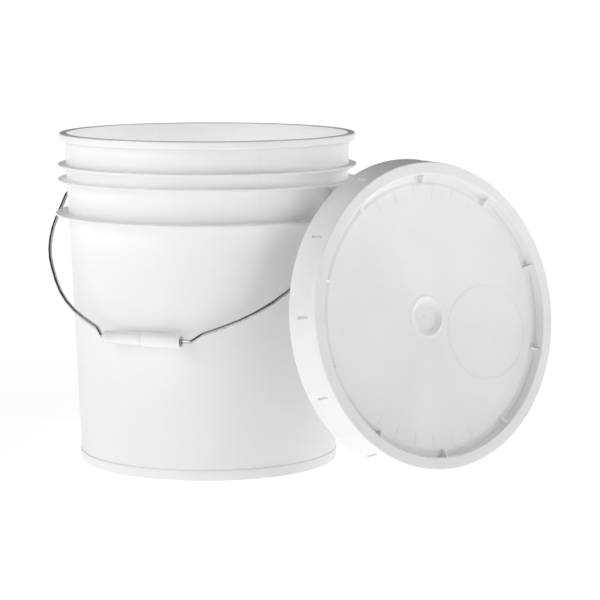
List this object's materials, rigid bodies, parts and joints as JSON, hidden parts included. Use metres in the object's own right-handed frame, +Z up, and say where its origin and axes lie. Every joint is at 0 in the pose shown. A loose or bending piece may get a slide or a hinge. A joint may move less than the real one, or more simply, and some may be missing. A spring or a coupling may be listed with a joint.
{
  "type": "fermenting bucket",
  "caption": "Open-head plastic fermenting pail with a swinging wire bail, a turning grip, and its press-fit sealing lid leaning beside it.",
  "frame": {"origin": "centre of the pail's foot ring, on the ground", "axes": "+Z up along the pail's axis; the lid leans on the ground to the +X side, its face towards +X and -Y; the ears' axis is turned 25 degrees about Z, right ear towards -Y"},
  "size_m": [0.519, 0.3628, 0.3385],
  "materials": {
    "pail_plastic": "satin natural white polyethylene",
    "bail_steel": "drawn galvanised wire",
    "grip_plastic": "satin white",
    "lid_plastic": "satin, slightly translucent white",
    "gasket_rubber": "matte pale grey"
  },
  "bodies": {
    "pail": {"pail_body": "pail_plastic"},
    "bail": {"bail_wire": "bail_steel"},
    "grip": {"bail_grip": "grip_plastic"},
    "lid": {"lid": "lid_plastic", "lid_gasket": "gasket_rubber"}
  },
  "joints": [
    {"name": "bail_swing", "type": "hinge", "parent": "pail", "child": "bail", "pos_m": [0, 0, 0.272], "axis": [-0.9063, 0.4226, 0], "range_deg": [0, 263.1]},
    {"name": "grip_turn", "type": "hinge", "parent": "bail", "child": "grip", "pos_m": [-0.06631, -0.12944, 0.14319], "axis": [0.9063, -0.4226, 0], "continuous": true},
    {"name": "lid_lift", "type": "slide", "parent": "pail", "child": "lid", "axis": [0, 0, 1], "range_m": [0, 0.4]}
  ]
}
